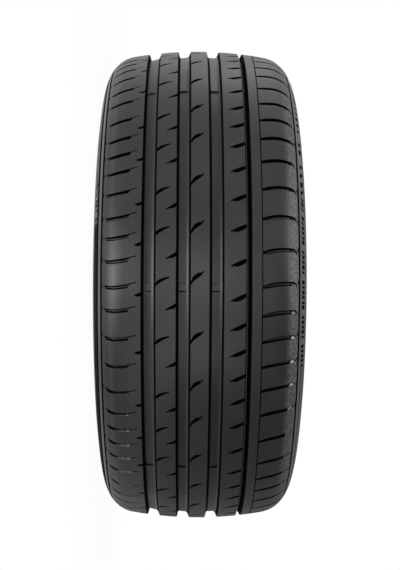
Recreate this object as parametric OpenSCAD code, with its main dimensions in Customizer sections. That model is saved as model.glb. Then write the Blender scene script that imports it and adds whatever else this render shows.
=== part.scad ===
// Low-profile passenger car tyre with an asymmetric tread, one moulded piece.
// The axle runs along Z and the middle plane of the tread is Z = 0.
// The four-groove tread is read with -Y towards the viewer and +Z to the right:
// the wide ribs are then on the left and the closed outer shoulder on the right.

/* [Overall size] */
// Outside diameter over the middle of the tread
overall_d = 653.2; // [620:0.2:690]
// Width over the sidewalls, without the rim shields
section_w = 250; // [235:1:265]

/* [Bead and rim fit] */
// Diameter of the seat that the wheel rim presses into
seat_d = 462; // [455:0.2:470]
// Distance between the two rim flanges that the beads sit against
rim_w = 215.9; // [205:0.1:225]
// Radius of the round bead heel
heel_r = 6.5; // [5:0.1:8]
// Length of the cylindrical seat on each bead
seat_l = 13; // [10:0.5:15]
// Height of the rim flange that the lower sidewall wraps round
flange_h = 17.3; // [15:0.1:18]
// Radius of the rim flange's rolled edge
flange_r = 9.5; // [8:0.1:10]

/* [Carcass] */
// Radius of the tread's crown, seen in section
crown_r = 515; // [400:5:700]
// Radius of the rounded shoulder
shoulder_r = 42; // [36:0.5:48]
// Thickness from the tread's face to the inner liner, at the middle
crown_t = 15.6; // [14:0.1:18]
// Thickness of the sidewall where the tyre is widest
side_t = 10; // [8:0.1:12]
// How far the rim shield stands out of the sidewall
shield_h = 1.6; // [1:0.1:3]

/* [Tread grooves] */
// Depth of the round-the-tyre grooves
tread_depth = 8; // [6:0.1:8.5]
// Width at the face of the three wide grooves
groove_w = 17; // [14:0.1:18]
// Width at the face of the narrow fourth groove
groove4_w = 7.2; // [5:0.1:8]
// Middle of each groove along Z, from the left shoulder to the right
groove_z = [-59.2, -19.5, 18.5, 55.2]; // each within 3 mm of its place here
// Place, width and depth of the fine line inside the right shoulder
fine_line = [70.2, 1.2, 2.2]; // place 68 to 72, width 1 to 2, depth 1 to 4
// Height of the wear bars above the groove floor
wear_bar_h = 1.6; // [1.2:0.1:2]
// Length of a wear bar round the tyre
wear_bar_l = 9; // [6:0.5:14]
// Angles of the wear bars
wear_bar_at = [1, 46, 90, 134, 177, 221.1, 270.6, 315]; // degrees, 6 to 8 of them

/* [Slots and sipes] */
// Depth of the slots and sipes cut across the ribs
slot_depth = 6; // [4:0.1:7]
// Depth of the shoulder slots at their outer end
shoulder_slot_depth = 3; // [2:0.1:4]
// Width of a sipe, the knife-thin end of a slot
sipe_w = 1; // [0.8:0.1:1.4]
// Angle at which the left pitch sequence starts
left_start = 212.8; // [0:0.2:359.8]
// Relative lengths of the left half pitches, short and long mixed to spread the noise
left_pitches = [7, 5, 7, 7, 5, 5, 5, 7, 5, 5, 7, 5, 7, 7, 7, 7, 5, 5, 5, 5, 7, 7, 5, 7, 5, 5, 7, 7, 5, 7,
    5, 7, 5, 7, 7, 7, 5, 5, 7, 5, 7, 7, 5, 5, 7, 7, 7, 5, 5, 7, 5, 7, 7, 7, 5, 5, 7, 7, 5, 7,
    7, 5, 5, 7, 7, 7, 7, 5, 5, 5]; // an even number of them
// Angle at which the right pitch sequence starts
right_start = 207.2; // [0:0.2:359.8]
// Relative lengths of the right pitches
right_pitches = [10, 10, 11, 11, 10, 10, 11, 12, 12, 13, 13, 11, 10, 10, 10, 11, 13, 13, 11, 10, 11,
    12, 13, 12, 10, 10, 11, 12, 13, 13, 11, 10, 10, 11, 11, 10, 12, 13, 12, 10, 10, 11, 10, 12, 13,
    12, 11, 10, 10, 11, 12, 12, 10, 10, 11, 13, 12, 11, 10, 10]; // 50 to 70 of them

/* [Sidewall lines] */
// Distance from the middle plane of the fine line that closes each shoulder
shoulder_line_z = 113.8; // [112:0.1:116]
// Width and depth of the fine lines on the shoulders
shoulder_line = [1.8, 0.9]; // width 1 to 2, depth 0.5 to 1.5
// How far the two fine rings on each sidewall lie below the tread's radius
side_ring_drop = [30.1, 39.1]; // the first 28 to 32, the second 8 to 12 more

/* [Hidden] */
$fn = 180;

tread_r = overall_d / 2;
half_w = section_w / 2;
seat_r = seat_d / 2;
half_rim = rim_w / 2;
// Axial sizes of the tread follow the section width, drawn for 250 mm
wk = section_w / 250;
// Radial sizes of the lower sidewall follow the section height, drawn for 95.6 mm
hk = (tread_r - seat_r) / 95.6;
side_ring_at = [for (d = side_ring_drop) tread_r - d * hk];
past = 12; // how far a cutter reaches past the face
sink = 0.4; // how deep a wear bar is let into the rubber round it

// Points along an arc in the section plane, as [z, r]
function arc(c, r, a0, a1, n) = [for (i = [0:n]) let (a = a0 + (a1 - a0) * i / n) c + r * [sin(a), cos(a)]];

// Outer section: crown, shoulder, upper sidewall. Angles are from the radial direction.
crown_half = 88 * wk;
crown_a = asin(crown_half / crown_r);
crown_c = [0, tread_r - crown_r];
shoulder_a = 55;
shoulder_c = crown_c + (crown_r - shoulder_r) * [sin(crown_a), cos(crown_a)];
shoulder_end = shoulder_c + shoulder_r * [sin(shoulder_a), cos(shoulder_a)];
side_r = (half_w - shoulder_end[0]) / (1 - sin(shoulder_a));
side_c = shoulder_end - side_r * [sin(shoulder_a), cos(shoulder_a)];
wide_r = side_c[1];

// Radius of the uncut tread face at an axial place
function face_r(z) = abs(z) <= crown_half
    ? crown_c[1] + sqrt(crown_r * crown_r - z * z)
    : shoulder_c[1] + sqrt(pow(shoulder_r, 2) - pow(abs(z) - shoulder_c[0], 2));

// Face points between two axial places, in longer steps on the flat crown than on the shoulders
function face(z0, z1) =
    let (step = abs(z0 + z1) < 2 * crown_half ? 12 : 6, n = max(1, ceil((z1 - z0) / step)))
    [for (i = [0:n]) let (z = z0 + (z1 - z0) * i / n) [z, face_r(z)]];

// A wide groove: steep left wall, flat floor, right wall that eases into the floor
function groove(z, w) = let (d = tread_depth, l = z - w / 2, r = z + w / 2) [
    [l, face_r(l)], [l + 0.13 * w, face_r(l) - d], [r - 0.31 * w, face_r(r) - d],
    [r - 0.15 * w, face_r(r) - 0.72 * d], [r, face_r(r)]];

// A narrow V-sided groove
function vee(z, w) = let (d = 0.85 * tread_depth, l = z - w / 2, r = z + w / 2) [
    [l, face_r(l)], [l + 0.2 * w, face_r(l) - d], [l + 0.45 * w, face_r(r) - d], [r, face_r(r)]];

// A fine line with square walls
function line(z, w, d) = [
    [z - w / 2, face_r(z - w / 2)], [z - 0.3 * w, face_r(z) - d],
    [z + 0.3 * w, face_r(z) - d], [z + w / 2, face_r(z + w / 2)]];

gz = wk * groove_z;
gw = wk * groove_w;
g4 = wk * groove4_w;
fl = [wk * fine_line[0], fine_line[1], fine_line[2]];
sl = wk * shoulder_line_z;
face_end = shoulder_end[0];

// The whole tread, left shoulder line to right shoulder line
tread_line = concat(
    face(-face_end, -sl - shoulder_line[0] / 2), line(-sl, shoulder_line[0], shoulder_line[1]),
    face(-sl + shoulder_line[0] / 2, gz[0] - gw / 2), groove(gz[0], gw),
    face(gz[0] + gw / 2, gz[1] - gw / 2), groove(gz[1], gw),
    face(gz[1] + gw / 2, gz[2] - gw / 2), groove(gz[2], gw),
    face(gz[2] + gw / 2, gz[3] - g4 / 2), vee(gz[3], g4),
    face(gz[3] + g4 / 2, fl[0] - fl[1] / 2), line(fl[0], fl[1], fl[2]),
    face(fl[0] + fl[1] / 2, sl - shoulder_line[0] / 2), line(sl, shoulder_line[0], shoulder_line[1]),
    face(sl + shoulder_line[0] / 2, face_end));

// A fine ring pressed into the sidewall at radius r, on the widest arc
function side_z(r) = side_c[0] + sqrt(side_r * side_r - pow(r - side_c[1], 2));
function ring(r) = [[side_z(r + 1), r + 1], [side_z(r) - 0.6, r + 0.4],
    [side_z(r) - 0.6, r - 0.4], [side_z(r - 1), r - 1]];
// Sidewall points from radius r0 down to r1
function side(r0, r1) = [for (i = [0:4]) let (r = r0 + (r1 - r0) * i / 4) [side_z(r), r]];

// Right side below the shoulder: sidewall, rim shield, flange seat, heel, bead seat, toe
flange_c = [half_rim + flange_r, seat_r + flange_h - flange_r];
heel_c = [half_rim - heel_r, seat_r + heel_r];
toe_z = heel_c[0] - seat_l;
right_side = concat(
    side(shoulder_end[1] - 0.5, side_ring_at[0] + 1), ring(side_ring_at[0]),
    side(side_ring_at[0] - 1, side_ring_at[1] + 1), ring(side_ring_at[1]),
    [[half_w, wide_r], [half_w, seat_r + 36 * hk], [half_w + shield_h, seat_r + 33.5 * hk],
        [half_w + shield_h, seat_r + 27 * hk], [half_w - 1.5, seat_r + 22 * hk]],
    arc(flange_c, flange_r, -6, -84, 6),
    arc(heel_c, heel_r, 90, 180, 6),
    [[toe_z + 1.5, seat_r], [toe_z, seat_r + 1.5]]);

// Inner liner from the right toe to the middle: bead filler, sidewall, crown
liner_r = tread_r - crown_t;
liner_crown_r = crown_r + 45;
liner_half = 91.6 * wk;
liner_a = asin(liner_half / liner_crown_r);
liner_c = [0, liner_r - liner_crown_r];
liner_turn_a = 70;
liner_turn_r = 26 * hk;
liner_turn_c = liner_c + (liner_crown_r - liner_turn_r) * [sin(liner_a), cos(liner_a)];
liner_turn_end = liner_turn_c + liner_turn_r * [sin(liner_turn_a), cos(liner_turn_a)];
liner_side_r = (half_w - side_t - liner_turn_end[0]) / (1 - sin(liner_turn_a));
liner_side_c = liner_turn_end - liner_side_r * [sin(liner_turn_a), cos(liner_turn_a)];
right_liner = concat(
    [[toe_z, seat_r + 5 * hk], [toe_z + 2, seat_r + 10 * hk], [toe_z + 8, seat_r + 18 * hk],
        [toe_z + 17, seat_r + 26 * hk], [toe_z + 24.5, seat_r + 33 * hk]],
    arc(liner_side_c, liner_side_r, 90, liner_turn_a, 3),
    arc(liner_turn_c, liner_turn_r, liner_turn_a - 6, liner_a, 8),
    arc(liner_c, liner_crown_r, liner_a * 0.8, 0, 5));

function left(points) = [for (i = [len(points) - 1:-1:0]) [-points[i][0], points[i][1]]];
function section() = concat(tread_line, right_side, right_liner,
    [for (i = [1:len(right_liner) - 1]) left(right_liner)[i]], left(right_side));

// The uncut tyre: one revolved section
module carcass() {
    rotate_extrude() polygon([for (p = section()) [p[1], p[0]]]);
}

// A wear bar across one groove, let a little into its walls and floor
module wear_bar(z, w, depth, at) {
    span = wear_bar_l / tread_r * 180 / PI;
    floor_r = face_r(z) - depth;
    rotate([0, 0, at - span / 2])
        rotate_extrude(angle = span)
            translate([floor_r - sink, z - w / 2])
                square([wear_bar_h + sink, w]);
}

module wear_bars() {
    for (at = wear_bar_at) {
        for (i = [0:2]) wear_bar(gz[i] - 0.08 * gw, 0.64 * gw, tread_depth, at);
        wear_bar(gz[3] - 0.15 * g4, 0.5 * g4, 0.85 * tread_depth, at);
    }
}

// Start angle of pitch i in a sequence of relative lengths
function total(v, n) = n == 0 ? 0 : v[n - 1] + total(v, n - 1);
function pitch_at(v, start, i) = start + 360 * total(v, i) / total(v, len(v));
function pitch_l(v, i) = 360 * v[i] / total(v, len(v));

// Outlines of the cuts as [along the tread, along Z], drawn from the tip of each cut.
// Along the tread is the way the angle grows, which is down in the front view.
shoulder_cut_left = [[0, -73], [2.4, -81.5], [4.1, -91], [5.1, -101], [4.5, -110],
    [8.8, -107], [9.5, -98.8], [8.4, -90.6], [7.3, -83], [3.2, -81], [sipe_w, -73]];
notch_rib1 = [[-0.5, -75], [-2.3, -70], [-4.9, -64], [-0.8, -64], [0.5, -68.3], [1.8, -70.2], [0.4, -75]];
blade_rib2_left = [[-0.3, -35.1], [0.8, -40.9], [2.5, -46], [4.9, -49.5], [10.6, -53],
    [11.2, -52], [7.2, -46.6], [4.2, -42], [sipe_w - 0.3, -35.1]];
blade_rib2_right = [[-0.4, -39.6], [-4, -33.5], [-8.8, -26], [-4.6, -26],
    [-1, -30.7], [-0.9, -34.3], [sipe_w - 0.4, -39.6]];
blade_rib3 = [[-0.5, 3.8], [2.3, -0.5], [1.7, -2.5], [3.8, -5.9], [6.9, -8.8], [15, -12.6],
    [16.2, -11.6], [10.6, -7.4], [7.7, -3.4], [4.8, 0.5], [sipe_w - 0.5, 3.8]];
blade_rib4 = [[-0.3, 34.1], [-3.7, 40.1], [-6.5, 46.2], [-9.2, 53], [-5.2, 53],
    [-1.1, 46.4], [0.9, 40.9], [0.1, 38.8], [sipe_w - 0.3, 34.1]];
shoulder_cut_right = [[-0.6, 70.2], [-3.4, 78], [-5.3, 87.3], [-5.9, 96.7], [-6, 106], [-4.4, 109.5],
    [0.2, 111.4], [0.4, 110.3], [-2.4, 108.4], [-1.2, 105.5], [-1.1, 96.7], [-0.2, 87.3],
    [1.4, 78], [2.6, 70.2]];

// A cut with a flat bottom, depth below the face at the cut's own middle
module cut(outline, z_mid, depth, at) {
    bottom = face_r(wk * z_mid) - depth;
    rotate([0, 0, at]) translate([bottom, 0, 0]) rotate([90, 0, 90])
        linear_extrude(height = tread_r + past - bottom) polygon([for (p = outline) [p[0], wk * p[1]]]);
}

module left_rib_cuts() {
    for (i = [0:2:len(left_pitches) - 1]) {
        at = pitch_at(left_pitches, left_start, i);
        mid = pitch_at(left_pitches, left_start, i + 1);
        cut(notch_rib1, -70, slot_depth, at);
        cut(blade_rib2_left, -44, slot_depth, at - 3.7);
        cut(blade_rib2_right, -33, slot_depth, mid - 3.1);
        cut(blade_rib3, -4, slot_depth, mid - 10.8);
    }
}

module right_rib_cuts() {
    for (i = [0:len(right_pitches) - 1])
        cut(blade_rib4, 44, slot_depth, pitch_at(right_pitches, right_start, i));
}

// Long cuts over both shoulders, with a floor that follows the shoulder's curve
module shoulder_cuts() {
    intersection() {
        union() {
            for (i = [0:len(left_pitches) - 1])
                cut(shoulder_cut_left, -91, 25, pitch_at(left_pitches, left_start, i)
                    + 0.36 * pitch_l(left_pitches, i));
            for (i = [0:len(right_pitches) - 1])
                cut(shoulder_cut_right, 91, 25, pitch_at(right_pitches, right_start, i) - 2.87);
        }
        shoulder_cut_band();
    }
}

// The room above the shoulder slots' floor: slot_depth at the inner end, less at the outer end
cut_in = 69 * wk;
cut_out = 112.5 * wk;
function slot_floor(z) = face_r(z) - slot_depth + (slot_depth - shoulder_slot_depth)
    * (abs(z) - cut_in) / (cut_out - cut_in);
module shoulder_cut_band() {
    floor_line = [for (i = [0:4]) let (z = cut_in + (cut_out - cut_in) * i / 4) [slot_floor(z), z]];
    for (m = [0, 1]) mirror([0, 0, m])
        rotate_extrude() polygon(concat(floor_line, [[tread_r + past, cut_out], [tread_r + past, cut_in]]));
}

module tyre() {
    color([0.16, 0.16, 0.17])
        difference() {
            union() {
                carcass();
                wear_bars();
            }
            left_rib_cuts();
            right_rib_cuts();
            shoulder_cuts();
        }
}

tyre();
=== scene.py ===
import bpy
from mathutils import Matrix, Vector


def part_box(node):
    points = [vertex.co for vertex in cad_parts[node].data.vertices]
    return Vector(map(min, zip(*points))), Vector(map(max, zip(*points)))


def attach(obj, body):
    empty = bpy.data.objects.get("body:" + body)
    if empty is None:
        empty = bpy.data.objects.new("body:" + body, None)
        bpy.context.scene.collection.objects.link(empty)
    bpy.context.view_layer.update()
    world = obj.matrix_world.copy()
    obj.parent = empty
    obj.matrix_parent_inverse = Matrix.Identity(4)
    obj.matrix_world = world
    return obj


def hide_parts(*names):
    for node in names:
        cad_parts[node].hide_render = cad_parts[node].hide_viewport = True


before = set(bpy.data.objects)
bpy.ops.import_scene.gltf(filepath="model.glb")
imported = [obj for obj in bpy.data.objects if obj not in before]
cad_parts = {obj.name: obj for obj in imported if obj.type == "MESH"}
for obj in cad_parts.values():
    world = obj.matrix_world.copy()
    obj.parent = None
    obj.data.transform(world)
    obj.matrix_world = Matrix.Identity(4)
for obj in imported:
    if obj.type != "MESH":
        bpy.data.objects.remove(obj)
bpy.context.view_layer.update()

from bisect import bisect_left
from math import asin, ceil, cos, degrees, hypot, pi, radians, sin, sqrt, tan

import bpy
from mathutils import Matrix, Vector
from mathutils.geometry import delaunay_2d_cdt

# All sizes of the tyre are in millimetres, as in the CAD source, until add_point() turns them into metres.
MM = 0.001

# Overall size, rim fit and carcass
TREAD_R = 326.6
HALF_W = 125.0
SEAT_R = 231.0
HALF_RIM = 107.95
HEEL_R = 6.5
SEAT_L = 13.0
FLANGE_H = 17.3
FLANGE_R = 9.5
CROWN_R = 515.0
SHOULDER_R = 42.0
CROWN_T = 15.6
SIDE_T = 10.0
SHIELD_H = 1.6

# Round-the-tyre grooves
TREAD_DEPTH = 8.0
GROOVE_W = 17.0
GROOVE4_W = 7.2
GROOVE_Z = (-59.2, -19.5, 18.5, 55.2)
FINE_LINE = (70.2, 1.2, 2.2)     # place, width and depth
SHOULDER_LINE_Z = 113.8
SHOULDER_LINE = (1.8, 0.9)       # width and depth
LINE_EDGE = 0.35                 # the narrow face on each side of a line
WEAR_BAR_H = 1.6
WEAR_BAR_L = 9.0
WEAR_BAR_AT = (1, 46, 90, 134, 177, 221.1, 270.6, 315)

# Radii on the sidewalls
SIDE_RINGS = (296.5, 287.5)      # the two fine rings
MARKS_RIGHT = (298.6, 290.2)     # the band of short marks of each side
MARKS_LEFT = (292.4, 283.0)
DARK_BAND = (293.0, 297.6)       # the band inside the left side's outer rib that is dark with painted shade
DULL_SHADE_END = 280.0                 # the left side is dull and dark with painted shade from the dark band in to here

# Arcs on the sidewalls, in degrees round the tyre
MARK_ARCS_RIGHT = ((17, 110), (197, 290))
MARK_ARCS_LEFT = ((65, 76), (245, 256))
LONG_MARKS = (197, 248)          # where each mark takes two columns and leans back
PALE_ARC = (150, 256)            # where the left side has no painted shade

# The short marks, as (start, width, slant) in shares of their cell. No width leaves a cell plain.
MARK_SHAPES = (
    (0.04, 0.72, 0.20), (0.06, 0.60, 0.30), (0.02, 0.86, 0.08), (0.16, 0.50, 0.30), (0, 0, 0),
    (0.04, 0.80, 0.12), (0.05, 0.55, 0.36), (0.10, 0.74, 0.12), (0.03, 0.66, 0.28), (0.22, 0.54, 0.20),
    (0.02, 0.84, 0.10), (0, 0, 0), (0.06, 0.58, 0.34))
MARK_SPAN = (0.06, 0.94)         # how far they reach across their band
MARK_DEPTH = 0.5
MARK_OUTWARD = 3.0               # outward part of their normals, so that they face away from the axle

# Slots and sipes
SLOT_DEPTH = 6.0
SHOULDER_SLOT_DEPTH = 3.0
SIPE_W = 1.0
CUT_IN, CUT_OUT = 69.0, 112.5
LEFT_START = 212.8
LEFT_PITCHES = (
    7, 5, 7, 7, 5, 5, 5, 7, 5, 5, 7, 5, 7, 7, 7, 7, 5, 5, 5, 5, 7, 7, 5, 7, 5, 5, 7, 7, 5, 7,
    5, 7, 5, 7, 7, 7, 5, 5, 7, 5, 7, 7, 5, 5, 7, 7, 7, 5, 5, 7, 5, 7, 7, 7, 5, 5, 7, 7, 5, 7,
    7, 5, 5, 7, 7, 7, 7, 5, 5, 5)
RIGHT_START = 207.2
RIGHT_PITCHES = (
    10, 10, 11, 11, 10, 10, 11, 12, 12, 13, 13, 11, 10, 10, 10, 11, 13, 13, 11, 10, 11,
    12, 13, 12, 10, 10, 11, 12, 13, 13, 11, 10, 10, 11, 11, 10, 12, 13, 12, 10, 10, 11, 10, 12, 13,
    12, 11, 10, 10, 11, 12, 12, 10, 10, 11, 13, 12, 11, 10, 10)

# Outlines of the cuts as (along the tread, along Z), drawn from the tip of each cut
SHOULDER_CUT_LEFT = ((0, -73), (2.4, -81.5), (4.1, -91), (5.1, -101), (4.5, -110),
    (8.8, -107), (9.5, -98.8), (8.4, -90.6), (7.3, -83), (3.2, -81), (SIPE_W, -73))
NOTCH_RIB1 = ((-0.5, -75), (-2.3, -70), (-4.9, -64), (-0.8, -64), (0.5, -68.3), (1.8, -70.2), (0.4, -75))
BLADE_RIB2_LEFT = ((-0.3, -35.1), (0.8, -40.9), (2.5, -46), (4.9, -49.5), (10.6, -53),
    (11.2, -52), (7.2, -46.6), (4.2, -42), (SIPE_W - 0.3, -35.1))
BLADE_RIB2_RIGHT = ((-0.4, -39.6), (-4, -33.5), (-8.8, -26), (-4.6, -26),
    (-1, -30.7), (-0.9, -34.3), (SIPE_W - 0.4, -39.6))
BLADE_RIB3 = ((-0.5, 3.8), (2.3, -0.5), (1.7, -2.5), (3.8, -5.9), (6.9, -8.8), (15, -12.6),
    (16.2, -11.6), (10.6, -7.4), (7.7, -3.4), (4.8, 0.5), (SIPE_W - 0.5, 3.8))
BLADE_RIB4 = ((-0.3, 34.1), (-3.7, 40.1), (-6.5, 46.2), (-9.2, 53), (-5.2, 53),
    (-1.1, 46.4), (0.9, 40.9), (0.1, 38.8), (SIPE_W - 0.3, 34.1))
SHOULDER_CUT_RIGHT = ((-0.6, 70.2), (-3.4, 78), (-5.3, 87.3), (-5.9, 96.7), (-6, 106), (-4.4, 109.5),
    (0.2, 111.4), (0.4, 110.3), (-2.4, 108.4), (-1.2, 105.5), (-1.1, 96.7), (-0.2, 87.3),
    (1.4, 78), (2.6, 70.2))

# Mesh fineness
COLUMNS = 320            # steps round the tyre
CUT_STEP = 5.0           # longest edge along a cut's outline
EDGE_R = 0.3             # rounding of the moulded edges
KEEP_CLEAR = 1.0         # grid points closer than this to a cut are left out
WALL_IN = 1.6            # how far the taper of a slot's walls brings them in at the floor
WALL_A = 80.0            # angle of the normal on a slot's walls
FLOOR_A = 15.0           # and at the edge of its floor
# Rings of a slot from its rim to its floor, as (distance inside the outline, depth, angle of the normal).
# A depth that isn't above zero is counted from the floor, but for the first ring, which is the rim.
SLOT_RINGS = (
    (-EDGE_R, 0.0, 0.0), (0.0, EDGE_R, WALL_A), (WALL_IN, -0.4, WALL_A), (WALL_IN + 0.15, 0.0, FLOOR_A))

# Painted shade and highlight on the rubber, stored in each vertex as its painted shade: 0 on open faces, 1 in
# the darkest cuts, where shade falls, below 0 where it is paler with a painted highlight and POLISHED where
# it is glossy and dark with painted shade
CHAMFER = -0.15          # the smooth foot of the right wall of each wide groove, paler with a painted highlight
CHAMFER_SLOPE = 28.0     # and the slope that its rounding shows, in degrees
CORNER = 0.9             # the left corner of a wide groove's floor, and the narrow groove, dark with painted shade
LEDGE = -0.6             # the left half of the narrow groove's floor, paler with a painted highlight
BAR_START = -0.3         # the two ends of a wear bar, one with a painted highlight and one with painted shade, against the groove floor
BAR_FOOT = 0.7
BARS_TURN = 290          # from this angle on, the wear bars have their end with painted shade first
BAR_LEAN = 0.8           # how far the normals lean there
# painted shade on the floors of the rib slots
SLOT_FLOOR = 0.8
OPEN_FLOOR_SHADE = 0.15        # the open floors of the shoulder slots, with light painted shade
POLISHED = 2.0           # the parts of a shoulder slot that are worn smooth: glossy, and dark with painted shade
SMOOTH_END = 103.0       # the right shoulder slots run out on a smooth ramp from here
RAMP_RISE = 0.26         # the slope of that ramp
RAMP_A = 28.0            # and of its normals, in degrees
RAMP_TAPER = 0.3         # share of the walls' taper there
WORN_TOP = -101.0        # the lower walls of the left shoulder slots are worn from here at their top,
WORN_FOOT = -93.0        # from here at their foot,
WORN_END = -81.5         # and up to here,
WORN_A = 53.0            # with normals at this angle
MARK_GROUND = -0.4       # pale ground of the marks, a painted highlight
# The sunk marks are dark with painted shade, on a ground with a painted highlight.
MARK_RINGS = ((0.0, 0.0, MARK_GROUND), (0.06, 0.01, 1.0), (MARK_DEPTH, 0.03, 1.0))    # depth, inset, painted shade
MARK_DARK_LEFT = 0.45    # how much of the painted shade the left side's marks keep beside the right side's
DULL_SHADE = 0.85              # the dull part of the left side, dark with painted shade


# Section of the tyre, the same construction as in the CAD source

def polar(centre, r, a):
    """Point at angle a (degrees from the radial direction) round a centre (z, r)."""
    return (centre[0] + r * sin(radians(a)), centre[1] + r * cos(radians(a)))


CROWN_HALF = 88.0
CROWN_A = degrees(asin(CROWN_HALF / CROWN_R))
CROWN_C = (0.0, TREAD_R - CROWN_R)
SHOULDER_A = 55.0
SHOULDER_C = polar(CROWN_C, CROWN_R - SHOULDER_R, CROWN_A)
SHOULDER_END = polar(SHOULDER_C, SHOULDER_R, SHOULDER_A)
SIDE_R = (HALF_W - SHOULDER_END[0]) / (1 - sin(radians(SHOULDER_A)))
SIDE_C = polar(SHOULDER_END, -SIDE_R, SHOULDER_A)


def face_r(z):
    """Radius of the uncut tread face at an axial place."""
    z = abs(z)
    if z <= CROWN_HALF:
        return CROWN_C[1] + sqrt(CROWN_R ** 2 - z * z)
    return SHOULDER_C[1] + sqrt(max(SHOULDER_R ** 2 - (z - SHOULDER_C[0]) ** 2, 0.0))


def face_normal(z):
    """Outward normal (z, r) of the uncut face."""
    if abs(z) <= CROWN_HALF:
        s = z / CROWN_R
    else:
        s = (abs(z) - SHOULDER_C[0]) / SHOULDER_R * (1 if z > 0 else -1)
    return (s, sqrt(max(1 - s * s, 0.0)))


def face(z0, z1, step=7.0):
    n = max(1, ceil((z1 - z0) / step))
    return [(z0 + (z1 - z0) * i / n, face_r(z0 + (z1 - z0) * i / n), 0.0) for i in range(n + 1)]


def groove(z, w):
    """Corners of a wide groove as (z, r, rounding)."""
    d, l, r = TREAD_DEPTH, z - w / 2, z + w / 2
    return [(l, face_r(l), 0.6), (l + 0.13 * w, face_r(l) - d, 1.2), (l + 0.21 * w, face_r(l) - d, 0.0),
            (z - 0.09 * w, (face_r(l) + face_r(r)) / 2 - d, 0.0), (r - 0.31 * w, face_r(r) - d, 1.2),
            (r - 0.15 * w, face_r(r) - 0.72 * d, 1.2), (r, face_r(r), 0.6)]


def vee(z, w):
    d, l, r = 0.85 * TREAD_DEPTH, z - w / 2, z + w / 2
    return [(l, face_r(l), 0.5), (l + 0.2 * w, face_r(l) - d, 0.6),
            (l + 0.325 * w, (face_r(l) + face_r(r)) / 2 - d, 0.0), (l + 0.45 * w, face_r(r) - d, 0.6),
            (r, face_r(r), 0.5)]


def line(z, w, d):
    l, r = z - w / 2, z + w / 2
    floor_r = face_r(z) - d
    return [(l - LINE_EDGE, face_r(l - LINE_EDGE), 0.0), (l, face_r(l), 0.2), (z - 0.3 * w, floor_r, 0.0),
            (z + 0.3 * w, floor_r, 0.0), (r, face_r(r), 0.2), (r + LINE_EDGE, face_r(r + LINE_EDGE), 0.0)]


def joined(*parts):
    """Chain lists of corners, dropping a point that repeats the one before it."""
    out = []
    for part in parts:
        for p in part:
            if out and hypot(p[0] - out[-1][0], p[1] - out[-1][1]) < 1e-6:
                if p[2] > out[-1][2]:
                    out[-1] = p
                continue
            out.append(p)
    return out


def tread_corners():
    hw, h4 = GROOVE_W / 2, GROOVE4_W / 2
    hf, hl = FINE_LINE[1] / 2 + LINE_EDGE, SHOULDER_LINE[0] / 2 + LINE_EDGE
    g, f, s, end = GROOVE_Z, FINE_LINE[0], SHOULDER_LINE_Z, SHOULDER_END[0]
    return joined(
        face(-end, -s - hl), line(-s, *SHOULDER_LINE), face(-s + hl, g[0] - hw), groove(g[0], GROOVE_W),
        face(g[0] + hw, g[1] - hw), groove(g[1], GROOVE_W),
        face(g[1] + hw, g[2] - hw), groove(g[2], GROOVE_W),
        face(g[2] + hw, g[3] - h4), vee(g[3], GROOVE4_W), face(g[3] + h4, f - hf), line(*FINE_LINE),
        face(f + hf, s - hl), line(s, *SHOULDER_LINE), face(s + hl, end))


def side_z(r):
    return SIDE_C[0] + sqrt(SIDE_R ** 2 - (r - SIDE_C[1]) ** 2)


def side(r0, r1, steps):
    return [(side_z(r0 + (r1 - r0) * i / steps), r0 + (r1 - r0) * i / steps, 0.0) for i in range(steps + 1)]


def ring(r):
    """A fine ring pressed into the sidewall."""
    return [(side_z(r + 1), r + 1, 0.2), (side_z(r) - 0.9, r + 0.7, 0.0),
            (side_z(r) - 0.9, r - 0.7, 0.0), (side_z(r - 1), r - 1, 0.2)]


def arc(centre, r, a0, a1, steps):
    return [polar(centre, r, a0 + (a1 - a0) * i / steps) + (0.0,) for i in range(steps + 1)]


def side_corners():
    """Right side below the shoulder: sidewall, rim shield, flange seat, heel, bead seat, toe."""
    flange_c = (HALF_RIM + FLANGE_R, SEAT_R + FLANGE_H - FLANGE_R)
    heel_c = (HALF_RIM - HEEL_R, SEAT_R + HEEL_R)
    toe_z = heel_c[0] - SEAT_L
    shield_z = HALF_W + SHIELD_H
    return joined(
        side(SHOULDER_END[1] - 0.5, MARKS_RIGHT[0], 1), side(MARKS_RIGHT[0], SIDE_RINGS[0] + 1, 1),
        ring(SIDE_RINGS[0]), side(SIDE_RINGS[0] - 1, DARK_BAND[0], 1), side(DARK_BAND[0], MARKS_LEFT[0], 1),
        side(MARKS_LEFT[0], MARKS_RIGHT[1], 1), side(MARKS_RIGHT[1], SIDE_RINGS[1] + 1, 1),
        ring(SIDE_RINGS[1]), side(SIDE_RINGS[1] - 1, MARKS_LEFT[1], 1), side(MARKS_LEFT[1], SIDE_C[1], 3),
        [(HALF_W, SEAT_R + 36, 2.0), (shield_z, SEAT_R + 33.5, 1.5), (shield_z, SEAT_R + 27, 1.5),
         (HALF_W - 1.5, SEAT_R + 22, 3.0)],
        arc(flange_c, FLANGE_R, -6, -84, 6), arc(heel_c, HEEL_R, 90, 180, 5),
        [(toe_z + 1.5, SEAT_R, 0.6), (toe_z, SEAT_R + 1.5, 0.6)])


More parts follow.
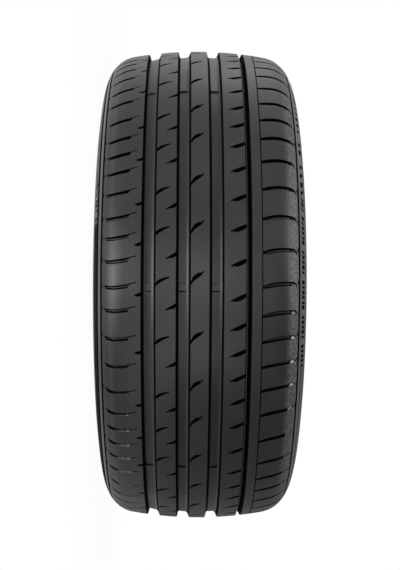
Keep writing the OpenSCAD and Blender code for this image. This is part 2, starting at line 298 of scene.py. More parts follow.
def liner_corners():
    """Inside, from the right toe to the middle: bead filler, sidewall, crown."""
    toe_z = HALF_RIM - HEEL_R - SEAT_L
    crown_r, crown_c = CROWN_R + 45, (0.0, TREAD_R - CROWN_T - CROWN_R - 45)
    half, turn_a, turn_r = 91.6, 70.0, 26.0
    a = degrees(asin(half / crown_r))
    turn_c = polar(crown_c, crown_r - turn_r, a)
    turn_end = polar(turn_c, turn_r, turn_a)
    low_r = (HALF_W - SIDE_T - turn_end[0]) / (1 - sin(radians(turn_a)))
    low_c = polar(turn_end, -low_r, turn_a)
    return joined(
        [(toe_z, SEAT_R + 5, 0.0), (toe_z + 2, SEAT_R + 10, 0.0), (toe_z + 8, SEAT_R + 18, 0.0),
         (toe_z + 17, SEAT_R + 26, 0.0), (toe_z + 24.5, SEAT_R + 33, 0.0)],
        arc(low_c, low_r, 90, turn_a, 3), arc(turn_c, turn_r, turn_a - 6, a, 6),
        arc(crown_c, crown_r, a * 0.8, 0, 4))


def mirrored(corners):
    return [(-z, r, rounding) for z, r, rounding in reversed(corners)]


def rounded(corners):
    """Rows of the closed section as (z, r, normal z, normal r): each sharp corner becomes a small arc."""
    rows = []
    count = len(corners)
    for i, (z, r, rounding) in enumerate(corners):
        p = Vector((z, r))
        before = p - Vector(corners[i - 1][:2])
        after = Vector(corners[(i + 1) % count][:2]) - p
        d0, d1 = before.normalized(), after.normalized()
        n0, n1 = Vector((-d0.y, d0.x)), Vector((-d1.y, d1.x))
        turn = d0.angle(d1, 0.0)
        if rounding == 0.0 or turn < 0.02:
            n = (n0 + n1).normalized()
            rows.append((p.x, p.y, n.x, n.y))
            continue
        cut = min(rounding * tan(turn / 2), 0.45 * before.length, 0.45 * after.length)
        a, b = p - d0 * cut, p + d1 * cut
        n = (n0 + n1).normalized()
        middle = a * 0.25 + p * 0.5 + b * 0.25
        for q, normal in ((a, n0), (middle, n), (b, n1)):
            rows.append((q.x, q.y, normal.x, normal.y))
    return rows


AROUND = 2 * pi * TREAD_R    # one turn, along the tread
ROWS = rounded(joined(tread_corners(), side_corners(), liner_corners(),
                      mirrored(liner_corners()), mirrored(side_corners())))


def row_index(z, r):
    """The row that lies at one place of the section."""
    return min(range(len(ROWS)), key=lambda i: hypot(ROWS[i][0] - z, ROWS[i][1] - r))


TREAD_END = row_index(*SHOULDER_END)
FINE_END = row_index(side_z(MARKS_RIGHT[1]), MARKS_RIGHT[1])
FINE_START = row_index(-side_z(MARKS_LEFT[1]), MARKS_LEFT[1])
LINER_START = row_index(HALF_RIM - HEEL_R - SEAT_L, SEAT_R + 5)
LINER_END = row_index(-(HALF_RIM - HEEL_R - SEAT_L), SEAT_R + 5)
FLOOR_MID = [row_index(*corner[:2]) for corner in
             [groove(z, GROOVE_W)[3] for z in GROOVE_Z[:3]] + [vee(GROOVE_Z[3], GROOVE4_W)[2]]]
ON_FACE = [i <= TREAD_END and abs(face_r(ROWS[i][0]) - ROWS[i][1]) < 0.02 for i in range(len(ROWS))]
TREAD_Z = [row[0] for row in ROWS[:TREAD_END + 1]]


def bar_height(x):
    """How much of a wear bar stands at x along the tread, from 0 to 1."""
    best = 0.0
    for a in WEAR_BAR_AT:
        d = abs((x - radians(a) * TREAD_R + AROUND / 2) % AROUND - AROUND / 2)
        best = max(best, min(1.0, (WEAR_BAR_L / 2 + 0.6 - d) / 0.6))
    return best


def row_depth(i, x):
    """Depth of a tread row below the uncut face at x, with the wear bars."""
    depth = face_r(ROWS[i][0]) - ROWS[i][1]
    top = (TREAD_DEPTH if i < FLOOR_MID[3] - 6 else 0.85 * TREAD_DEPTH) - WEAR_BAR_H
    if depth > top:
        depth = max(top, depth - WEAR_BAR_H * bar_height(x)) if bar_height(x) > 0 else depth
    return depth


def tread_surface(x, z):
    """Depth and normal (z, r) of the tread without its slots."""
    i = min(max(bisect_left(TREAD_Z, z), 1), TREAD_END)
    if ON_FACE[i - 1] and ON_FACE[i]:
        return 0.0, face_normal(z)
    a, b = ROWS[i - 1], ROWS[i]
    t = (z - a[0]) / max(b[0] - a[0], 1e-9)
    t = max(0.0, min(1.0, t))
    n = Vector((a[2] + (b[2] - a[2]) * t, a[3] + (b[3] - a[3]) * t)).normalized()
    return row_depth(i - 1, x) * (1 - t) + row_depth(i, x) * t, (n.x, n.y)


UP_TREAD = Vector((-1.0, 0.0))


def row_painted_shade(i):
    """Painted shade of a row: darkest on the steep walls of the grooves and in the fine lines, with painted
    highlights on some feet and the ledge.
    """
    z, r, nz, nr = ROWS[i]
    if i > TREAD_END:
        return side_painted_shade(z, r)
    depth = face_r(z) - r
    in_fine_line = depth > 0.25 and abs(z - FINE_LINE[0]) < 1.2
    if in_fine_line or abs(abs(z) - SHOULDER_LINE_Z) < 1.15:
        return 1.0
    fz, fr = face_normal(z)
    lean = nz * fr - nr * fz
    if depth > 2.0 and -0.85 < lean < -0.5 and abs(z - GROOVE_Z[3]) > GROOVE4_W:
        return CHAMFER
    if depth > 5.0 and any(abs(z - place + 0.37 * GROOVE_W) < 0.9 for place in GROOVE_Z[:3]):
        return CORNER
    steep = max(0.0, min(1.0, (0.85 - nz * fz - nr * fr) / 0.3))
    if depth > 3.0 and abs(z - GROOVE_Z[3]) < GROOVE4_W / 2:
        on_ledge = depth > 5.0 and GROOVE_Z[3] - 2.4 < z < GROOVE_Z[3] - 1.0
        return LEDGE if on_ledge else max(steep, CORNER)
    return steep


def side_painted_shade(z, r):
    """Painted shade of a row below the shoulder: dark in the fine rings, the dark band and the dull part of
    the left side, with a painted highlight on the ground of the marks.
    """
    outside = abs(z) > side_z(min(max(r, SIDE_C[1]), SHOULDER_END[1])) - 2.0
    if not outside or r < SIDE_C[1]:
        return 0.0
    if any(abs(r - ring_r) < 0.95 for ring_r in SIDE_RINGS):
        return 1.0
    if z > 0:
        return MARK_GROUND if r > MARKS_RIGHT[1] - 0.1 and not DARK_BAND[0] < r < DARK_BAND[1] else 0.0
    if DARK_BAND[0] - 0.1 < r < DARK_BAND[1]:
        return 1.0
    return DULL_SHADE if DULL_SHADE_END < r < DARK_BAND[0] else 0.0


ROW_PAINTED_SHADE = [row_painted_shade(i) for i in range(len(ROWS))]


# Mesh of the tyre: rings of vertices round the axis, with the slots let into the tread

points = []
normals = []
painted_shades = []
faces = []
ring_ids = {}


def add_point(x, z, r, nz, nr, nx=0.0, painted_shade=0.0):
    """Vertex at x along the tread, axial z and radius r, with its normal and its painted shade."""
    a = x / TREAD_R
    painted_shades.append(painted_shade)
    points.append((r * cos(a) * MM, r * sin(a) * MM, z * MM))
    normals.append(Vector((nr * cos(a) - nx * sin(a), nr * sin(a) + nx * cos(a), nz)).normalized())
    return len(points) - 1


def pitch_angles(start, lengths):
    """Start angle and length, in degrees, of each pitch."""
    unit = 360 / sum(lengths)
    out = []
    at = start
    for n in lengths:
        out.append((at, n * unit))
        at += n * unit
    return out


def refined(outline):
    """Outline, anticlockwise, with its long edges divided."""
    area = sum(a[0] * b[1] - b[0] * a[1] for a, b in zip(outline, outline[1:] + outline[:1]))
    outline = outline if area > 0 else outline[::-1]
    out = []
    for (x, z), (x1, z1) in zip(outline, outline[1:] + outline[:1]):
        n = max(1, ceil(hypot(x1 - x, z1 - z) / CUT_STEP))
        out += [(x + (x1 - x) * k / n, z + (z1 - z) * k / n) for k in range(n)]
    return out


def miters(poly):
    """Direction towards the inside at each vertex, long enough to keep the walls' distance."""
    out = []
    for i, p in enumerate(poly):
        a, p, b = Vector(poly[i - 1]), Vector(p), Vector(poly[(i + 1) % len(poly)])
        d0, d1 = (p - a).normalized(), (b - p).normalized()
        n0, n1 = Vector((-d0.y, d0.x)), Vector((-d1.y, d1.x))
        n = (n0 + n1).normalized() if (n0 + n1).length > 1e-3 else n1
        out.append(n / max(n.dot(n1), 0.5))
    return out


def taper_room(poly, miter):
    """How much of the walls' taper fits at each vertex, less where the slot is narrow."""
    room = []
    for p, m in zip(poly, miter):
        best = 20.0
        for (x0, z0), (x1, z1) in zip(poly, poly[1:] + poly[:1]):
            dx, dz = x1 - x0, z1 - z0
            cross = m.x * dz - m.y * dx
            if abs(cross) < 1e-9:
                continue
            t = ((x0 - p[0]) * dz - (z0 - p[1]) * dx) / cross
            u = ((x0 - p[0]) * m.y - (z0 - p[1]) * m.x) / cross
            if t > 0.05 and -0.01 <= u <= 1.01:
                best = min(best, t)
        room.append(min(1.0, 0.42 * best / (WALL_IN + 0.15)))
    return room


def touches(poly, x, z, limit):
    """Whether a point is inside a polygon or nearer to it than limit."""
    hit = False
    for (x0, z0), (x1, z1) in zip(poly, poly[1:] + poly[:1]):
        if (z0 > z) != (z1 > z) and x < x0 + (z - z0) / (z1 - z0) * (x1 - x0):
            hit = not hit
        dx, dz = x1 - x0, z1 - z0
        t = max(0.0, min(1.0, ((x - x0) * dx + (z - z0) * dz) / (dx * dx + dz * dz + 1e-12)))
        if hypot(x - x0 - t * dx, z - z0 - t * dz) < limit:
            return True
    return hit


def shoulder_depth(z):
    """Depth of a shoulder slot's floor: less at its outer end."""
    depth = SLOT_DEPTH + (SHOULDER_SLOT_DEPTH - SLOT_DEPTH) * (abs(z) - CUT_IN) / (CUT_OUT - CUT_IN)
    return depth - RAMP_RISE * max(0.0, z - SMOOTH_END)


def rib_depth(z):
    """Depth of a rib slot's floor, the same all along."""
    return SLOT_DEPTH


def surface_painted_shade(z):
    """Painted shade of the unslotted tread at an axial place."""
    i = min(max(bisect_left(TREAD_Z, z), 1), TREAD_END)
    t = (z - ROWS[i - 1][0]) / max(ROWS[i][0] - ROWS[i - 1][0], 1e-9)
    return ROW_PAINTED_SHADE[i - 1] * (1 - t) + ROW_PAINTED_SHADE[i] * t


def slot_shade_and_finish(floor, z, inside, angle, ring_depth):
    """Slope and side direction of the normal, and the painted shade, at one vertex of a slot."""
    if angle == 0.0:
        return angle, inside, 0.0
    if floor is rib_depth:
        return angle, inside, SLOT_FLOOR if angle == FLOOR_A else 1.0
    if z > SMOOTH_END and (angle == FLOOR_A or inside.x < 0.3):
        return RAMP_A, UP_TREAD, POLISHED
    if angle == FLOOR_A:
        return angle, inside, OPEN_FLOOR_SHADE
    worn_from = WORN_TOP if ring_depth > 0 else WORN_FOOT
    if inside.x < -0.4 and worn_from < z < WORN_END:
        return WORN_A, inside, POLISHED
    return angle, inside, 1.0


def cuts_of_bands():
    """The slots of each of the five bands between groove floors, as (angle, outline, depth)."""
    bands = [[] for _ in range(5)]
    left = pitch_angles(LEFT_START, LEFT_PITCHES)
    right = pitch_angles(RIGHT_START, RIGHT_PITCHES)
    for at, length in left:
        bands[0].append((at + 0.36 * length, SHOULDER_CUT_LEFT, shoulder_depth))
    for i in range(0, len(left), 2):
        at, mid = left[i][0], left[i + 1][0]
        bands[0].append((at, NOTCH_RIB1, rib_depth))
        bands[1].append((at - 3.7, BLADE_RIB2_LEFT, rib_depth))
        bands[1].append((mid - 3.1, BLADE_RIB2_RIGHT, rib_depth))
        bands[2].append((mid - 10.8, BLADE_RIB3, rib_depth))
    for at, length in right:
        bands[3].append((at, BLADE_RIB4, rib_depth))
        bands[4].append((at - 2.87, SHOULDER_CUT_RIGHT, shoulder_depth))
    return bands


COLUMN_X = [AROUND * k / COLUMNS for k in range(COLUMNS)]
COLUMN_STEP = AROUND / COLUMNS


def bar_columns():
    """Columns with extra ones at the wear bars' ends."""
    extra = []
    for a in WEAR_BAR_AT:
        x = radians(a) * TREAD_R
        for d in (WEAR_BAR_L / 2 - 0.9, WEAR_BAR_L / 2, WEAR_BAR_L / 2 + 0.6, WEAR_BAR_L / 2 + 1.5):
            extra += [(x - d) % AROUND, (x + d) % AROUND]
    kept = [x for x in COLUMN_X if all(abs(x - e) > 1.2 for e in extra)]
    return sorted(kept + extra)


BAR_X = bar_columns()
FIRST_BAR_X = radians(WEAR_BAR_AT[0]) * TREAD_R


def bar_end(x):
    """-1 or 1 on the sloping start or end of a wear bar, otherwise 0."""
    for a in WEAR_BAR_AT:
        d = (x - radians(a) * TREAD_R + AROUND / 2) % AROUND - AROUND / 2
        if WEAR_BAR_L / 2 - 0.1 < abs(d) < WEAR_BAR_L / 2 + 0.7:
            return 1 if (d > 0) == (a < BARS_TURN) else -1
    return 0


def row_columns(i):
    """Where along the tread the vertices of a row stand."""
    if i <= TREAD_END and not ON_FACE[i]:
        depth = face_r(ROWS[i][0]) - ROWS[i][1]
        if row_depth(i, FIRST_BAR_X) < depth - 0.1:
            return BAR_X
    return COLUMN_X


def ring_point(i, k):
    """The vertex of row i in its column k, made once and shared by the bands on both sides."""
    xs = row_columns(i)
    key = (i, k % len(xs))
    if key not in ring_ids:
        x = xs[k % len(xs)]
        z, r, nz, nr = ROWS[i]
        if i <= TREAD_END:
            r = face_r(z) - row_depth(i, x)
            if ON_FACE[i] and i not in (0, TREAD_END):
                nz, nr = face_normal(z)
        painted_shade = ROW_PAINTED_SHADE[i]
        if painted_shade == CHAMFER:
            nz, nr = -sin(radians(CHAMFER_SLOPE)), cos(radians(CHAMFER_SLOPE))
        # The marks' painted highlight is kept only beside the arcs of marks.
        if painted_shade == MARK_GROUND and r < DARK_BAND[0] and not in_marks(x, z):
            painted_shade = 0.0
        # No painted shade on the left side in its pale arc.
        inside_band = z < 0 and DULL_SHADE_END < r < DARK_BAND[0] - 0.1
        if inside_band and PALE_ARC[0] < degrees(x / TREAD_R) < PALE_ARC[1]:
            painted_shade = 0.0
        lean = 0.0
        # The ends of the wear bars: a painted highlight on one, painted shade on the other.
        if xs is BAR_X and 0.0 <= painted_shade < 0.5:
            lean = BAR_LEAN * bar_end(x)
            painted_shade = {-1: BAR_START, 0: painted_shade, 1: BAR_FOOT}[bar_end(x)]
        ring_ids[key] = add_point(x, z, r, nz, nr, lean, painted_shade)
    return ring_ids[key]


def free_column(cuts):
    """A column that no slot of the band comes near."""
    spans = []
    for at, outline, depth in cuts:
        x = radians(at) * TREAD_R
        spans.append((x + min(p[0] for p in outline) - 3, x + max(p[0] for p in outline) + 3))
    for k, x in enumerate(COLUMN_X):
        if x in BAR_X and not any((x - a) % AROUND < b - a for a, b in spans):
            return x
    raise ValueError("no free column")


def placed_slots(cuts, seam):
    """The slots of a band as (outline, miters, room for the taper, depth), all in the turn after the seam."""
    slots = []
    for at, outline, depth in cuts:
        x = radians(at) * TREAD_R
        x -= AROUND * ((x - seam) // AROUND)
        poly = refined([(x + p[0], p[1]) for p in outline])
        miter = miters(poly)
        slots.append((poly, miter, taper_room(poly, miter), depth))
    return slots


def rims_of(slots):
    """The rim of each slot, after the box round it that grid points have to keep clear of."""
    rims = []
    for poly, miter, room, depth in slots:
        rim = [(p[0] - m.x * EDGE_R, p[1] - m.y * EDGE_R) for p, m in zip(poly, miter)]
        xs, zs = [p[0] for p in rim], [p[1] for p in rim]
        rims.append((min(xs) - KEEP_CLEAR, max(xs) + KEEP_CLEAR,
                     min(zs) - KEEP_CLEAR, max(zs) + KEEP_CLEAR, rim))
    return rims


def band_grid(first, last, seam, rims):
    """Places, vertices and edges of a band's grid; edges only along its borders and where its rows crease."""
    coords, ids, edges = [], [], []
    for i in range(first, last + 1):
        z = ROWS[i][0]
        xs = row_columns(i)
        start = xs.index(seam)
        here = [rim for rim in rims if rim[2] < z < rim[3]] if first < i < last else []
        crease = i in (first, last) or not (ON_FACE[i - 1] and ON_FACE[i] and ON_FACE[i + 1])
        before = None
        for k in range(start, start + len(xs) + 1):
            x = xs[k % len(xs)] + AROUND * (k // len(xs))
            if any(rim[0] < x < rim[1] and touches(rim[4], x, z, KEEP_CLEAR) for rim in here):
                continue
            coords.append(Vector((x, z)))
            ids.append(ring_point(i, k))
            if before is not None and crease:
                edges.append((before, len(coords) - 1))
            before = len(coords) - 1
    return coords, ids, edges


def add_slot_rings(slots, coords, edges):
    """Add the places and edges of the slots' rings, and tell which ring each place and edge is on."""
    on_ring, edge_rings = {}, {}
    for poly, miter, room, depth in slots:
        for inset, ring_depth, angle in SLOT_RINGS:
            base = len(coords)
            for n, (p, m) in enumerate(zip(poly, miter)):
                slope, towards, dark = slot_shade_and_finish(depth, p[1], m, angle, ring_depth)
                share = RAMP_TAPER if depth is shoulder_depth and p[1] > SMOOTH_END else 1.0
                inset_here = inset * room[n] * share if inset > 0 else inset
                ring = (ring_depth, slope, towards, depth, inset == -EDGE_R, dark)
                on_ring[len(coords)] = ring
                edge_rings[len(edges)] = ring
                edges.append((len(coords), base + (n + 1) % len(poly)))
                coords.append(Vector((p[0] + m.x * inset_here, p[1] + m.y * inset_here)))
    return on_ring, edge_rings


def slot_vertex(co, rings):
    """Vertex at a place of the tread, as deep as the deepest of the slot rings that meet there."""
    depth, (nz, nr) = tread_surface(co.x, co.y)
    nx = 0.0
    painted_shade = surface_painted_shade(co.y)
    for ring_depth, angle, towards, floor, rim, dark in rings:
        d = ring_depth if ring_depth > 0 or rim else floor(co.y) + ring_depth
        if d > depth + 1e-6:
            depth = d
            side = towards.normalized() * sin(radians(angle))
            fz, fr = face_normal(co.y)
            c = cos(radians(angle))
            nx, nz, nr = side.x, fz * c + side.y, fr * c
            painted_shade = dark
    return add_point(co.x, co.y, face_r(co.y) - depth, nz, nr, nx, painted_shade)


def tread_band(first, last, cuts):
    """Triangles of the tread between two rows, with its slots let in."""
    seam = free_column(cuts)
    slots = placed_slots(cuts, seam)
    coords, ids, edges = band_grid(first, last, seam, rims_of(slots))
    on_ring, edge_rings = add_slot_rings(slots, coords, edges)
    out_coords, out_edges, out_faces, from_verts, from_edges, from_faces = delaunay_2d_cdt(
        coords, edges, [], 0, 1e-4, True)

    crossing = {}    # rings at the new places where rings cross each other or the grid
    for ends, sources in zip(out_edges, from_edges):
        for source in sources:
            if source in edge_rings:
                for end in ends:
                    crossing.setdefault(end, []).append(edge_rings[source])
    out_ids = []
    for n, co in enumerate(out_coords):
        own = [v for v in from_verts[n] if v < len(ids)]
        if own:
            out_ids.append(ids[own[0]])
        else:
            rings = [on_ring[v] for v in from_verts[n] if v in on_ring] or crossing.get(n, [])
            out_ids.append(slot_vertex(co, rings))
    for triangle in out_faces:
        a, b, c = (out_coords[v] for v in triangle)
        turn = (b - a).x * (c - a).y - (b - a).y * (c - a).x
        t = [out_ids[v] for v in triangle]
        faces.append(t if turn > 0 else t[::-1])


def in_marks(x, z):
    """Whether a place along the tread lies beside one of the arcs of marks on its side."""
    arcs = MARK_ARCS_RIGHT if z > 0 else MARK_ARCS_LEFT
    return any(a <= degrees(x / TREAD_R) % 360 <= b for a, b in arcs)


def stride(i):
    """Columns from one vertex of a row to the next: fewer vertices where the shape is plain."""
    if i <= FINE_END or i >= FINE_START:
        return 1
    return 4 if LINER_START < i < LINER_END else 2


def strip(i, j):
    """Faces between two rows; the extra vertices of the finer row join the wider faces."""
    wide = max(stride(i), stride(j))
    for k in range(0, COLUMNS, wide):
        low = [ring_point(i, k + n) for n in range(0, wide + 1, stride(i))]
        high = [ring_point(j, k + n) for n in range(wide, -1, -stride(j))]
        faces.append(low + high)


def leaned_back(start, width, slant):
    """Shape of a mark for a cell two columns wide."""
    return 0.36 + start / 2, width * 0.7, -0.28 - slant / 4


def mark_cell(i, j, k, wide):
    """Cell of a band of marks between two rows, from column k on, with its mark pressed in."""
    (z0, r0, nz, nr), (z1, r1, _, _) = ROWS[i], ROWS[j]
    low = [ring_point(i, k + n) for n in range(wide + 1)]
    high = [ring_point(j, k + n) for n in range(wide, -1, -1)]
    start, width, slant = MARK_SHAPES[k % len(MARK_SHAPES)]
    if width == 0:
        faces.append(low + high)
        return
    if wide == 2:
        start, width, slant = leaned_back(start, width, slant)
    sides = [low, [low[-1], high[0]], high, [high[-1], low[0]]]
    # The sunk marks get painted shade, less of it on the left side.
    for depth, inset, painted_shade in MARK_RINGS:
        u0, u1 = start + inset, start + width - inset
        v0, v1 = MARK_SPAN[0] + inset, MARK_SPAN[1] - inset
        out = nr if depth == 0 else MARK_OUTWARD
        dark = painted_shade * MARK_DARK_LEFT if painted_shade > 0 and z0 < 0 else painted_shade
        hollow = []
        for u, v in ((u0, v0), (u1, v0), (u1 + slant, v1), (u0 + slant, v1)):
            z, r = z0 + (z1 - z0) * v, r0 + (r1 - r0) * v
            x = COLUMN_X[k] + wide * COLUMN_STEP * u
            hollow.append(add_point(x, z - nz * depth, r - nr * depth, nz, out, painted_shade=dark))
        for n in range(4):
            faces.append(sides[n] + [hollow[(n + 1) % 4], hollow[n]])
        sides = [[hollow[n], hollow[(n + 1) % 4]] for n in range(4)]
    faces.append(hollow)


def marks(i, j):
    """Band of the sidewall between two rows: cells with marks on its arcs, its own rows elsewhere."""
    z = ROWS[i][0]
    marked = [in_marks(x, z) and in_marks(x + COLUMN_STEP, z) for x in COLUMN_X]
    k = 0
    while k < COLUMNS:
        if not marked[k]:
            for n in range(i, j):
                faces.append([ring_point(n, k), ring_point(n, k + 1),
                              ring_point(n + 1, k + 1), ring_point(n + 1, k)])
            k += 1
            continue
        if not marked[k - 1]:
            faces.append([ring_point(n, k) for n in (i, *range(j, i, -1))])
        long_mark = LONG_MARKS[0] < k * 360 / COLUMNS < LONG_MARKS[1]
        wide = 2 if long_mark and marked[(k + 1) % COLUMNS] else 1
        mark_cell(i, j, k, wide)
        k += wide
        if not marked[k % COLUMNS]:
            faces.append([ring_point(n, k) for n in range(i, j + 1)])


def tyre_mesh():
    """The whole tyre as one closed mesh, with its painted shade and normals."""
    borders = [0] + FLOOR_MID + [TREAD_END]
    for first, last, cuts in zip(borders, borders[1:], cuts_of_bands()):
        tread_band(first, last, cuts)
    right = [row_index(side_z(r), r) for r in MARKS_RIGHT]
    left = [row_index(-side_z(r), r) for r in MARKS_LEFT]
    marks(right[0], right[1])
    marks(left[1], left[0])
    for i in range(TREAD_END, len(ROWS)):
        if not (right[0] <= i < right[1] or left[1] <= i < left[0]):
            strip(i, (i + 1) % len(ROWS))
    mesh = bpy.data.meshes.new("tyre_rubber")
    mesh.from_pydata(points, [], faces)
    mesh.attributes.new("painted_shade", "FLOAT", "POINT").data.foreach_set("value", painted_shades)
    mesh.shade_smooth()
    mesh.normals_split_custom_set_from_vertices(normals)
    return mesh


def make_tyre():
    tyre = bpy.data.objects.new("moulded_tyre", tyre_mesh())
    bpy.context.collection.objects.link(tyre)
    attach(tyre, "root")
    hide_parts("tyre")
    return tyre


# Materials

class Nodes:
    """Short calls for building the nodes of a material or a world."""

    def __init__(self, owner):
        owner.use_nodes = True
        self.tree = owner.node_tree
        self.tree.nodes.clear()

    def node(self, kind, inputs=None, **settings):
        n = self.tree.nodes.new(kind)
        for name, value in settings.items():
            setattr(n, name, value)
        for key, value in (inputs or {}).items():
            if isinstance(value, bpy.types.NodeSocket):
                self.tree.links.new(value, n.inputs[key])
            else:
                n.inputs[key].default_value = value
        return n

    def math(self, operation, a, b=0.0, c=0.0):
        return self.node("ShaderNodeMath", {0: a, 1: b, 2: c}, operation=operation).outputs[0]

    def noise(self, vector, scale, detail=3.0, roughness=0.5):
        n = self.node("ShaderNodeTexNoise",
                      {"Vector": vector, "Scale": scale, "Detail": detail, "Roughness": roughness})
        return n.outputs["Fac"]

    def smooth_range(self, value, low, high, out_low=0.0, out_high=1.0):
        n = self.node("ShaderNodeMapRange", {"Value": value, "From Min": low, "From Max": high,
                                             "To Min": out_low, "To Max": out_high},
                      interpolation_type="SMOOTHSTEP")
        return n.outputs["Result"]

    def band(self, value, low, high, edge):
        """1 where value lies between low and high."""
        up = self.smooth_range(value, low - edge, low + edge)
        down = self.smooth_range(value, high - edge, high + edge, 1.0, 0.0)
        return self.math("MULTIPLY", up, down)

    def mix_colour(self, factor, a, b):
        n = self.node("ShaderNodeMix", {0: factor, 6: a, 7: b}, data_type="RGBA")
        return n.outputs[2]

    def bump(self, height, distance, strength):
        inputs = {"Height": height, "Distance": distance, "Strength": strength}
        return self.node("ShaderNodeBump", inputs).outputs["Normal"]

    def seen_white(self, share, lit):
        """The surface that is lit, mixed with plain white by a share."""
        white_kind = "ShaderNodeBackground" if "Background" in lit.bl_idname else "ShaderNodeEmission"
        white = self.node(white_kind, {"Color": (1.0, 1.0, 1.0, 1.0), "Strength": 1.0})
        return self.node("ShaderNodeMixShader", {0: share, 1: lit.outputs[0], 2: white.outputs[0]}).outputs[0]


# The first two colours vary at random; the pale colour is that of painted highlights and the deep colour that
# of painted shade.
RUBBER = (0.016, 0.0161, 0.0166, 1.0)
RUBBER_WORN = (0.023, 0.023, 0.0234, 1.0)
RUBBER_PAINTED_HIGHLIGHT = (0.135, 0.135, 0.136, 1.0)
RUBBER_PAINTED_SHADE = (0.0025, 0.0025, 0.0027, 1.0)


def rubber():
    """Moulded black rubber: satin tread, painted shade in its cuts, grained shoulders, painted highlights on
    the shoulders and outer ribs, ribbed sidewalls.
    """
    material = bpy.data.materials.new("moulded_rubber")
    n = Nodes(material)
    place = n.node("ShaderNodeTexCoord").outputs["Object"]
    axis = n.node("ShaderNodeSeparateXYZ", {0: place})
    x, y, z = axis.outputs["X"], axis.outputs["Y"], axis.outputs["Z"]
    r = n.math("SQRT", n.math("ADD", n.math("MULTIPLY", x, x), n.math("MULTIPLY", y, y)))
    away = n.math("ABSOLUTE", z)
    painted_shade = n.node("ShaderNodeAttribute", attribute_name="painted_shade").outputs["Fac"]
    cloud = n.noise(place, 14.0, 4.0)
    grain = n.noise(place, 420.0, 3.0, 0.65)
    fine = n.noise(place, 2400.0, 2.0)
    outside = n.smooth_range(r, 0.2975, 0.3005)

    # Painted highlights: the grained band of the right shoulder, pale with a painted highlight that follows
    # its real grain, the outer ribs of the sidewalls, a painted sheen and a painted highlight on the left
    # shoulder, and the vertices' painted highlights below zero
    right_rise = n.math("ADD", n.smooth_range(z, 0.0975, 0.1015, 0.0, 0.45),
                        n.smooth_range(z, 0.1015, 0.1035, 0.0, 0.55))
    right_grain = n.math("MULTIPLY", right_rise, n.smooth_range(z, 0.1123, 0.1130, 1.0, 0.0))
    grained = n.math("MULTIPLY", right_grain, outside)
    left_sheen = n.math("MULTIPLY", n.band(z, -0.1050, -0.1000, 0.0022), outside)
    rim_ring = n.math("MULTIPLY", n.band(away, 0.1150, 0.1184, 0.0003), n.smooth_range(r, 0.2965, 0.2972))
    painted_highlight = n.math("MULTIPLY", grained, n.smooth_range(grain, 0.38, 0.62, 0.15, 1.0))
    low_left_shade = n.math("MULTIPLY", n.smooth_range(z, -0.106, -0.070, 1.0, 0.0), n.smooth_range(x, 0.01, 0.12))
    rim_pale = n.smooth_range(low_left_shade, 0.0, 1.0, 0.5, 0.22)
    painted_highlight = n.math("MAXIMUM", painted_highlight, n.math("MULTIPLY", rim_ring, rim_pale))
    painted_highlight = n.math("MAXIMUM", painted_highlight, n.math("MULTIPLY", left_sheen, 0.12))
    # A painted highlight on the middle of the left shoulder.
    mid_left_highlight = n.math("MULTIPLY", n.band(z, -0.106, -0.072, 0.008), n.band(x, -0.050, 0.012, 0.028))
    painted_highlight = n.math("MAXIMUM", painted_highlight, n.math("MULTIPLY", n.math("MULTIPLY", mid_left_highlight, outside), 0.13))
    painted_highlight = n.math("MAXIMUM", painted_highlight, n.smooth_range(painted_shade, 0.0, -1.0))

    # The mask of the left shoulder's half towards +X darkens it with painted shade and makes it less glossy
    colour = n.mix_colour(n.smooth_range(cloud, 0.35, 0.75), RUBBER, RUBBER_WORN)
    colour = n.mix_colour(n.math("MULTIPLY", low_left_shade, 0.4), colour, RUBBER_PAINTED_SHADE)
    # paler with the painted highlights
    colour = n.mix_colour(painted_highlight, colour, RUBBER_PAINTED_HIGHLIGHT)
    # darker with painted shade in the cuts and hollows
    colour = n.mix_colour(n.smooth_range(painted_shade, 0.0, 1.0), colour, RUBBER_PAINTED_SHADE)

    rough = n.math("ADD", n.smooth_range(cloud, 0.3, 0.7, 0.34, 0.42), n.math("MULTIPLY", grained, 0.14))
    rough = n.math("ADD", rough, n.math("MULTIPLY", fine, 0.06))
    rough = n.math("ADD", rough, n.smooth_range(painted_shade, 0.0, 1.0, 0.0, 0.3))
    polished = n.smooth_range(painted_shade, 1.1, POLISHED)
    rough = n.math("SUBTRACT", rough, n.math("MULTIPLY", polished, 0.5))
    specular = n.math("ADD", n.smooth_range(painted_shade, 0.0, 1.0, 0.4, 0.02), n.math("MULTIPLY", polished, 0.98))
    specular = n.math("MULTIPLY", specular, n.smooth_range(low_left_shade, 0.0, 1.0, 1.0, 0.7))

    # Bump: fine grain everywhere, coarser on the right shoulder, and the fine ribs of the lower sidewalls
    turn = n.math("ARCTAN2", y, x)
    ribs = n.math("SINE", n.math("MULTIPLY", turn, 360.0))
    ribbed = n.math("MULTIPLY", n.band(r, 0.2645, 0.2795, 0.0004), n.smooth_range(away, 0.117, 0.118))
    height = n.math("ADD", n.math("MULTIPLY", fine, 0.10),
                    n.math("MULTIPLY", grain, n.math("ADD", 0.08, n.math("MULTIPLY", grained, 0.9))))
    height = n.math("ADD", height, n.math("MULTIPLY", n.math("MULTIPLY", ribs, ribbed), 1.4))
    normal = n.bump(height, 0.0005, 0.6)
    shader = n.node("ShaderNodeBsdfPrincipled",
                    {"Base Color": colour, "Roughness": rough, "Normal": normal,
                     "Specular IOR Level": specular, "IOR": 1.5})
    n.node("ShaderNodeOutputMaterial", {"Surface": shader.outputs[0]})
    return material


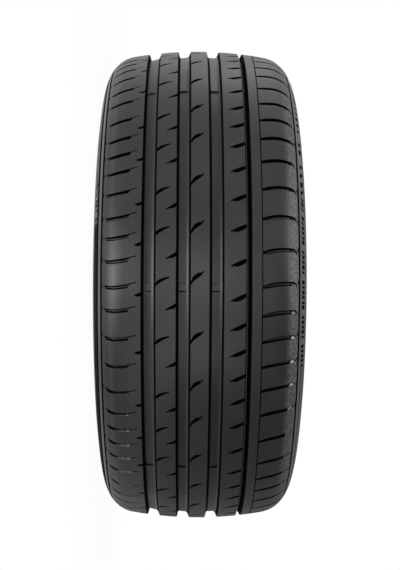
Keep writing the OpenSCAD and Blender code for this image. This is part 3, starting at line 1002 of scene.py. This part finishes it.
def white_floor():
    """Pale floor that looks white to the camera and keeps the tyre's soft shadow."""
    material = bpy.data.materials.new("white_floor")
    n = Nodes(material)
    place = n.node("ShaderNodeTexCoord").outputs["Object"]
    path = n.node("ShaderNodeLightPath")
    x = n.node("ShaderNodeSeparateXYZ", {0: place}).outputs["X"]
    gloss = n.math("MULTIPLY", path.outputs["Is Glossy Ray"], n.smooth_range(x, 0.05, 0.7, 1.0, 0.2))
    seen = n.math("MAXIMUM", path.outputs["Is Camera Ray"], gloss)
    far = n.node("ShaderNodeVectorMath", {0: place}, operation="LENGTH").outputs["Value"]
    whiteness = n.math("MULTIPLY", seen, n.smooth_range(far, 0.34, 0.62, FLOOR_WHITENESS, 1.0))
    colour = n.mix_colour(n.noise(place, 3.0), (0.80, 0.80, 0.80, 1.0), (0.84, 0.84, 0.84, 1.0))
    lit = n.node("ShaderNodeBsdfPrincipled", {"Base Color": colour, "Roughness": 0.9})
    n.node("ShaderNodeOutputMaterial", {"Surface": n.seen_white(whiteness, lit)})
    return material


# The stage, lights and camera, in metres

# The camera fitted to the photo: focal length and picture height in pixels, place, and its directions
FOCAL_PX = 1040.1
IMAGE_H = 570
CAMERA_AT = (0.0006, -1.4951, -0.0165)
LOOK = Vector((0.0, 0.99991, 0.01347))
RIGHT = Vector((-0.0043, -0.0135, 0.9999))
SENSOR_MM = 36.0

FLOOR_HALF = 6.0
FLOOR_WHITENESS = 0.965          # near the tyre; it is 1 farther out
WORLD_LEVEL = 0.06
WORLD_LOW, WORLD_HIGH = 0.3, 0.9    # whiteness in gloss, from the picture's bottom to its top


def make_floor():
    mesh = bpy.data.meshes.new("floor")
    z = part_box("tyre")[0][2]
    h = FLOOR_HALF
    mesh.from_pydata([(-h, -h, z), (h, -h, z), (h, h, z), (-h, h, z)], [], [(0, 1, 2, 3)])
    floor = bpy.data.objects.new("floor", mesh)
    bpy.context.collection.objects.link(floor)
    mesh.materials.append(white_floor())
    floor.visible_shadow = False


def make_world():
    """Dim sky that looks white to the camera, and shows brighter in gloss towards the picture's top."""
    world = bpy.data.worlds.new("studio")
    n = Nodes(world)
    path = n.node("ShaderNodeLightPath")
    place = n.node("ShaderNodeTexCoord").outputs["Generated"]
    x = n.node("ShaderNodeSeparateXYZ", {0: place}).outputs["X"]
    above = n.node("ShaderNodeMapRange", {"Value": x, "From Min": 0.5, "From Max": -0.6,
                                          "To Min": WORLD_LOW, "To Max": WORLD_HIGH}).outputs[0]
    gloss = n.math("MULTIPLY", path.outputs["Is Glossy Ray"], above)
    seen = n.math("MAXIMUM", path.outputs["Is Camera Ray"], gloss)
    soft = n.node("ShaderNodeBackground", {"Color": (0.9, 0.92, 0.95, 1.0), "Strength": WORLD_LEVEL})
    n.node("ShaderNodeOutputWorld", {"Surface": n.seen_white(seen, soft)})
    bpy.context.scene.world = world


# Name, place, point aimed at, size in metres and power in watts of each area lamp
LAMPS = (
    ("overhead", (-1.7, 0.5, 0.1), (-0.2, -0.1, 0.0), (0.9, 1.3), 3.8),
    ("top_front", (-1.7, -1.3, 0.1), (0.0, -0.2, 0.0), (0.8, 1.0), 1.7),
    ("front", (-0.1, -2.4, 0.05), (0.0, -0.2, 0.0), (0.5, 0.5), 6.8),
    ("front_low", (1.1, -2.1, 0.05), (0.0, -0.2, 0.0), (0.5, 0.5), 4.5),
    ("left_side", (-0.08, -0.95, -1.0), (0.0, -0.3, -0.1), (0.35, 0.35), 8.5),
    ("right_side", (-0.5, -0.6, 1.9), (0.0, -0.1, 0.0), (0.75, 0.75), 20.0))


def make_lamp(name, at, aim, size, power):
    data = bpy.data.lights.new(name, "AREA")
    data.shape = "RECTANGLE"
    data.size, data.size_y = size
    data.energy = power
    ob = bpy.data.objects.new(name, data)
    ob.location = at
    ob.rotation_euler = (Vector(aim) - Vector(at)).to_track_quat("-Z", "Y").to_euler()
    bpy.context.collection.objects.link(ob)


def make_camera():
    data = bpy.data.cameras.new("photo_camera")
    data.sensor_fit = "AUTO"
    data.sensor_width = SENSOR_MM
    data.lens = FOCAL_PX * SENSOR_MM / IMAGE_H
    data.clip_start = 0.05
    data.clip_end = 100.0
    camera = bpy.data.objects.new("photo_camera", data)
    back = -LOOK.normalized()
    right = (RIGHT - back * RIGHT.dot(back)).normalized()
    up = back.cross(right)
    turn = Matrix((right, up, back)).transposed().to_4x4()
    camera.matrix_world = Matrix.Translation(CAMERA_AT) @ turn
    bpy.context.collection.objects.link(camera)
    bpy.context.scene.camera = camera


make_camera()
tyre = make_tyre()
tyre.data.materials.append(rubber())
make_floor()
make_world()
for row in LAMPS:
    make_lamp(*row)

bpy.context.scene.view_settings.view_transform = "Standard"
